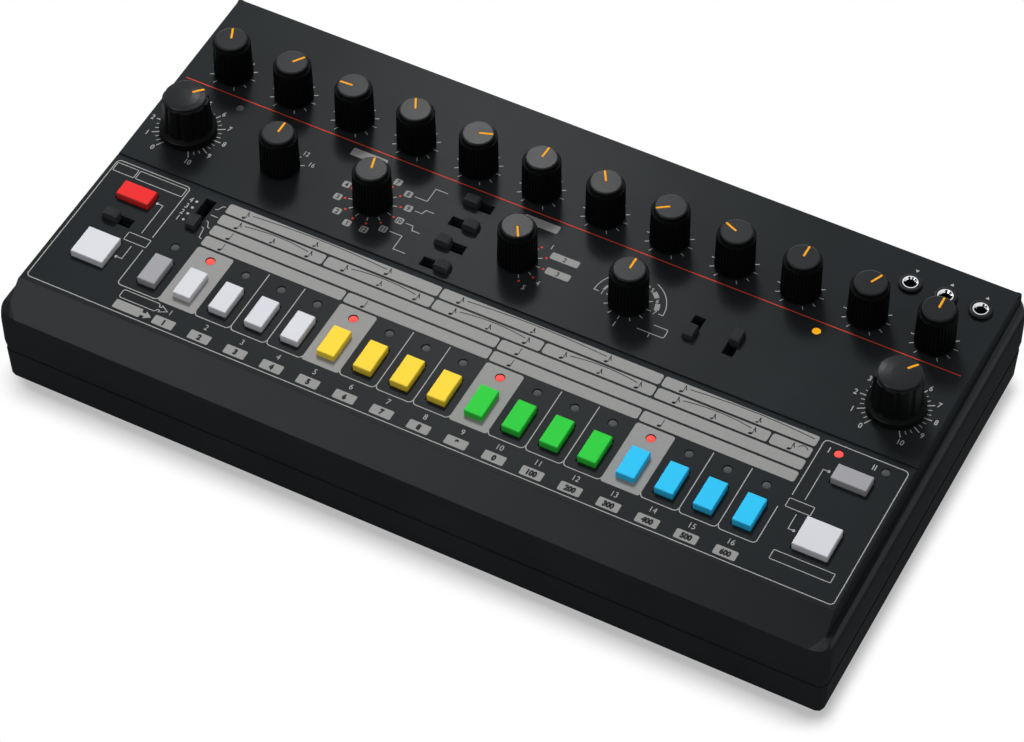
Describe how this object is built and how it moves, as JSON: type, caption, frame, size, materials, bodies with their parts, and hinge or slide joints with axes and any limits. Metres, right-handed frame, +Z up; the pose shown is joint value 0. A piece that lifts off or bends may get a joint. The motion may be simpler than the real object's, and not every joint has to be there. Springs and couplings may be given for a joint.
{
  "type": "drum machine",
  "caption": "Desktop drum machine with a row of coloured step keys, two rows of ribbed knobs, slide switches, lamps and jack sockets in a flat two-part case.",
  "frame": {"origin": "centre of the case's bounding box in plan, on the surface that the rubber feet stand on", "axes": "+X to the right along the key row, +Y to the rear with the sockets, +Z up"},
  "size_m": [0.305, 0.1604, 0.0653],
  "materials": {
    "shell_dark": "fine moulded texture, satin",
    "shell_lower": "fine moulded texture, satin",
    "board": "solder mask",
    "component": "moulded component bodies",
    "knob_black": "satin, ribbed",
    "lever_grey": "matt, ridged",
    "key_white": "satin",
    "key_grey": "satin",
    "key_red": "satin",
    "key_yellow": "satin",
    "key_green": "satin",
    "key_blue": "satin",
    "lamp": "diffused lens",
    "jack_black": "satin",
    "rubber": "matt",
    "steel": "zinc plated",
    "print_white": "screen-printed ink",
    "print_grey": "screen-printed ink",
    "print_red": "screen-printed ink",
    "print_black": "screen-printed ink",
    "pointer_orange": "paint in the pointer's groove"
  },
  "bodies": {
    "case": {"upper_case": "shell_dark", "lower_case": "shell_lower", "control_board": "board", "main_board": "board", "potentiometers": "component", "slide_switch_bodies": "component", "key_switches": "component", "leds": "lamp", "jack_sockets": "jack_black", "rear_sockets": "jack_black", "rubber_feet": "rubber", "screws": "steel"},
    "level_knob_1": {"level_knob_1": "knob_black"},
    "level_knob_2": {"level_knob_2": "knob_black"},
    "level_knob_3": {"level_knob_3": "knob_black"},
    "level_knob_4": {"level_knob_4": "knob_black"},
    "level_knob_5": {"level_knob_5": "knob_black"},
    "level_knob_6": {"level_knob_6": "knob_black"},
    "level_knob_7": {"level_knob_7": "knob_black"},
    "level_knob_8": {"level_knob_8": "knob_black"},
    "level_knob_9": {"level_knob_9": "knob_black"},
    "level_knob_10": {"level_knob_10": "knob_black"},
    "level_knob_11": {"level_knob_11": "knob_black"},
    "level_knob_12": {"level_knob_12": "knob_black"},
    "tempo_knob": {"tempo_knob": "knob_black"},
    "variation_knob": {"variation_knob": "knob_black"},
    "instrument_knob": {"instrument_knob": "knob_black"},
    "pattern_knob": {"pattern_knob": "knob_black"},
    "fill_knob": {"fill_knob": "knob_black"},
    "volume_knob": {"volume_knob": "knob_black"},
    "voice_switch_1": {"voice_switch_1": "lever_grey"},
    "voice_switch_2": {"voice_switch_2": "lever_grey"},
    "voice_switch_3": {"voice_switch_3": "lever_grey"},
    "voice_switch_4": {"voice_switch_4": "lever_grey"},
    "fade_in_switch": {"fade_in_switch": "lever_grey"},
    "fade_out_switch": {"fade_out_switch": "lever_grey"},
    "scale_switch": {"scale_switch": "lever_grey"},
    "auto_switch": {"auto_switch": "lever_grey"},
    "cancel_key": {"cancel_key": "key_grey"},
    "step_key_1": {"step_key_1": "key_white"},
    "step_key_2": {"step_key_2": "key_white"},
    "step_key_3": {"step_key_3": "key_white"},
    "step_key_4": {"step_key_4": "key_white"},
    "step_key_5": {"step_key_5": "key_yellow"},
    "step_key_6": {"step_key_6": "key_yellow"},
    "step_key_7": {"step_key_7": "key_yellow"},
    "step_key_8": {"step_key_8": "key_yellow"},
    "step_key_9": {"step_key_9": "key_green"},
    "step_key_10": {"step_key_10": "key_green"},
    "step_key_11": {"step_key_11": "key_green"},
    "step_key_12": {"step_key_12": "key_green"},
    "step_key_13": {"step_key_13": "key_blue"},
    "step_key_14": {"step_key_14": "key_blue"},
    "step_key_15": {"step_key_15": "key_blue"},
    "step_key_16": {"step_key_16": "key_blue"},
    "clear_key": {"clear_key": "key_red"},
    "start_key": {"start_key": "key_white"},
    "pattern_key": {"pattern_key": "key_grey"},
    "tap_key": {"tap_key": "key_white"},
    "power_rocker": {"power_rocker": "jack_black"}
  },
  "joints": [
    {"name": "level_knob_1_turn", "type": "hinge", "parent": "case", "child": "level_knob_1", "pos_m": [-0.13314, 0.0449, 0.0473], "axis": [0, 0, 1], "range_deg": [-173, 127]},
    {"name": "level_knob_2_turn", "type": "hinge", "parent": "case", "child": "level_knob_2", "pos_m": [-0.10897, 0.0449, 0.0473], "axis": [0, 0, 1], "range_deg": [-115, 185]},
    {"name": "level_knob_3_turn", "type": "hinge", "parent": "case", "child": "level_knob_3", "pos_m": [-0.08479, 0.0449, 0.0473], "axis": [0, 0, 1], "range_deg": [-244, 56]},
    {"name": "level_knob_4_turn", "type": "hinge", "parent": "case", "child": "level_knob_4", "pos_m": [-0.06062, 0.0449, 0.0473], "axis": [0, 0, 1], "range_deg": [-177, 123]},
    {"name": "level_knob_5_turn", "type": "hinge", "parent": "case", "child": "level_knob_5", "pos_m": [-0.03646, 0.0449, 0.0473], "axis": [0, 0, 1], "range_deg": [-81, 219]},
    {"name": "level_knob_6_turn", "type": "hinge", "parent": "case", "child": "level_knob_6", "pos_m": [-0.01229, 0.0449, 0.0473], "axis": [0, 0, 1], "range_deg": [-147, 153]},
    {"name": "level_knob_7_turn", "type": "hinge", "parent": "case", "child": "level_knob_7", "pos_m": [0.01188, 0.0449, 0.0473], "axis": [0, 0, 1], "range_deg": [-181, 119]},
    {"name": "level_knob_8_turn", "type": "hinge", "parent": "case", "child": "level_knob_8", "pos_m": [0.03605, 0.0449, 0.0473], "axis": [0, 0, 1], "range_deg": [-275, 25]},
    {"name": "level_knob_9_turn", "type": "hinge", "parent": "case", "child": "level_knob_9", "pos_m": [0.06023, 0.0449, 0.0473], "axis": [0, 0, 1], "range_deg": [-218, 82]},
    {"name": "level_knob_10_turn", "type": "hinge", "parent": "case", "child": "level_knob_10", "pos_m": [0.08439, 0.0449, 0.0473], "axis": [0, 0, 1], "range_deg": [-150, 150]},
    {"name": "level_knob_11_turn", "type": "hinge", "parent": "case", "child": "level_knob_11", "pos_m": [0.10856, 0.0449, 0.0473], "axis": [0, 0, 1], "range_deg": [-125, 175]},
    {"name": "level_knob_12_turn", "type": "hinge", "parent": "case", "child": "level_knob_12", "pos_m": [0.13273, 0.0449, 0.0473], "axis": [0, 0, 1], "range_deg": [-151, 149]},
    {"name": "tempo_knob_turn", "type": "hinge", "parent": "case", "child": "tempo_knob", "pos_m": [-0.13314, 0.0139, 0.0473], "axis": [0, 0, 1], "range_deg": [-111, 189]},
    {"name": "variation_knob_turn", "type": "hinge", "parent": "case", "child": "variation_knob", "pos_m": [-0.09676, 0.0139, 0.0473], "axis": [0, 0, 1], "range_deg": [-60, 60]},
    {"name": "instrument_knob_turn", "type": "hinge", "parent": "case", "child": "instrument_knob", "pos_m": [-0.06062, 0.0139, 0.0473], "axis": [0, 0, 1], "range_deg": [-180, 150]},
    {"name": "pattern_knob_turn", "type": "hinge", "parent": "case", "child": "pattern_knob", "pos_m": [-0.00535, 0.0139, 0.0473], "axis": [0, 0, 1], "range_deg": [0, 120]},
    {"name": "fill_knob_turn", "type": "hinge", "parent": "case", "child": "fill_knob", "pos_m": [0.03605, 0.0139, 0.0473], "axis": [0, 0, 1], "range_deg": [-180, 150]},
    {"name": "volume_knob_turn", "type": "hinge", "parent": "case", "child": "volume_knob", "pos_m": [0.13273, 0.0139, 0.0473], "axis": [0, 0, 1], "range_deg": [-116, 184]},
    {"name": "voice_switch_1_slide", "type": "slide", "parent": "case", "child": "voice_switch_1", "axis": [1, 0, 0], "range_m": [0, 0.005]},
    {"name": "voice_switch_2_slide", "type": "slide", "parent": "case", "child": "voice_switch_2", "axis": [1, 0, 0], "range_m": [-0.005, 0]},
    {"name": "voice_switch_3_slide", "type": "slide", "parent": "case", "child": "voice_switch_3", "axis": [1, 0, 0], "range_m": [0, 0.005]},
    {"name": "voice_switch_4_slide", "type": "slide", "parent": "case", "child": "voice_switch_4", "axis": [1, 0, 0], "range_m": [-0.005, 0]},
    {"name": "fade_in_switch_slide", "type": "slide", "parent": "case", "child": "fade_in_switch", "axis": [0, 1, 0], "range_m": [0, 0.005]},
    {"name": "fade_out_switch_slide", "type": "slide", "parent": "case", "child": "fade_out_switch", "axis": [0, 1, 0], "range_m": [-0.005, 0]},
    {"name": "scale_switch_slide", "type": "slide", "parent": "case", "child": "scale_switch", "axis": [0, 1, 0], "range_m": [0, 0.009]},
    {"name": "auto_switch_slide", "type": "slide", "parent": "case", "child": "auto_switch", "axis": [1, 0, 0], "range_m": [0, 0.005]},
    {"name": "cancel_key_press", "type": "slide", "parent": "case", "child": "cancel_key", "axis": [0, 0, -1], "range_m": [0, 0.0012], "stiffness_N_per_m": 500, "springref_m": -0.001},
    {"name": "step_key_1_press", "type": "slide", "parent": "case", "child": "step_key_1", "axis": [0, 0, -1], "range_m": [0, 0.0012], "stiffness_N_per_m": 500, "springref_m": -0.001},
    {"name": "step_key_2_press", "type": "slide", "parent": "case", "child": "step_key_2", "axis": [0, 0, -1], "range_m": [0, 0.0012], "stiffness_N_per_m": 500, "springref_m": -0.001},
    {"name": "step_key_3_press", "type": "slide", "parent": "case", "child": "step_key_3", "axis": [0, 0, -1], "range_m": [0, 0.0012], "stiffness_N_per_m": 500, "springref_m": -0.001},
    {"name": "step_key_4_press", "type": "slide", "parent": "case", "child": "step_key_4", "axis": [0, 0, -1], "range_m": [0, 0.0012], "stiffness_N_per_m": 500, "springref_m": -0.001},
    {"name": "step_key_5_press", "type": "slide", "parent": "case", "child": "step_key_5", "axis": [0, 0, -1], "range_m": [0, 0.0012], "stiffness_N_per_m": 500, "springref_m": -0.001},
    {"name": "step_key_6_press", "type": "slide", "parent": "case", "child": "step_key_6", "axis": [0, 0, -1], "range_m": [0, 0.0012], "stiffness_N_per_m": 500, "springref_m": -0.001},
    {"name": "step_key_7_press", "type": "slide", "parent": "case", "child": "step_key_7", "axis": [0, 0, -1], "range_m": [0, 0.0012], "stiffness_N_per_m": 500, "springref_m": -0.001},
    {"name": "step_key_8_press", "type": "slide", "parent": "case", "child": "step_key_8", "axis": [0, 0, -1], "range_m": [0, 0.0012], "stiffness_N_per_m": 500, "springref_m": -0.001},
    {"name": "step_key_9_press", "type": "slide", "parent": "case", "child": "step_key_9", "axis": [0, 0, -1], "range_m": [0, 0.0012], "stiffness_N_per_m": 500, "springref_m": -0.001},
    {"name": "step_key_10_press", "type": "slide", "parent": "case", "child": "step_key_10", "axis": [0, 0, -1], "range_m": [0, 0.0012], "stiffness_N_per_m": 500, "springref_m": -0.001},
    {"name": "step_key_11_press", "type": "slide", "parent": "case", "child": "step_key_11", "axis": [0, 0, -1], "range_m": [0, 0.0012], "stiffness_N_per_m": 500, "springref_m": -0.001},
    {"name": "step_key_12_press", "type": "slide", "parent": "case", "child": "step_key_12", "axis": [0, 0, -1], "range_m": [0, 0.0012], "stiffness_N_per_m": 500, "springref_m": -0.001},
    {"name": "step_key_13_press", "type": "slide", "parent": "case", "child": "step_key_13", "axis": [0, 0, -1], "range_m": [0, 0.0012], "stiffness_N_per_m": 500, "springref_m": -0.001},
    {"name": "step_key_14_press", "type": "slide", "parent": "case", "child": "step_key_14", "axis": [0, 0, -1], "range_m": [0, 0.0012], "stiffness_N_per_m": 500, "springref_m": -0.001},
    {"name": "step_key_15_press", "type": "slide", "parent": "case", "child": "step_key_15", "axis": [0, 0, -1], "range_m": [0, 0.0012], "stiffness_N_per_m": 500, "springref_m": -0.001},
    {"name": "step_key_16_press", "type": "slide", "parent": "case", "child": "step_key_16", "axis": [0, 0, -1], "range_m": [0, 0.0012], "stiffness_N_per_m": 500, "springref_m": -0.001},
    {"name": "clear_key_press", "type": "slide", "parent": "case", "child": "clear_key", "axis": [0, 0, -1], "range_m": [0, 0.0012], "stiffness_N_per_m": 500, "springref_m": -0.001},
    {"name": "start_key_press", "type": "slide", "parent": "case", "child": "start_key", "axis": [0, 0, -1], "range_m": [0, 0.0012], "stiffness_N_per_m": 500, "springref_m": -0.001},
    {"name": "pattern_key_press", "type": "slide", "parent": "case", "child": "pattern_key", "axis": [0, 0, -1], "range_m": [0, 0.0012], "stiffness_N_per_m": 500, "springref_m": -0.001},
    {"name": "tap_key_press", "type": "slide", "parent": "case", "child": "tap_key", "axis": [0, 0, -1], "range_m": [0, 0.0012], "stiffness_N_per_m": 500, "springref_m": -0.001},
    {"name": "power_rocker_tilt", "type": "hinge", "parent": "case", "child": "power_rocker", "pos_m": [0.127, 0.0764, 0.0226], "axis": [0, 0, 1], "range_deg": [-20, 0]}
  ]
}
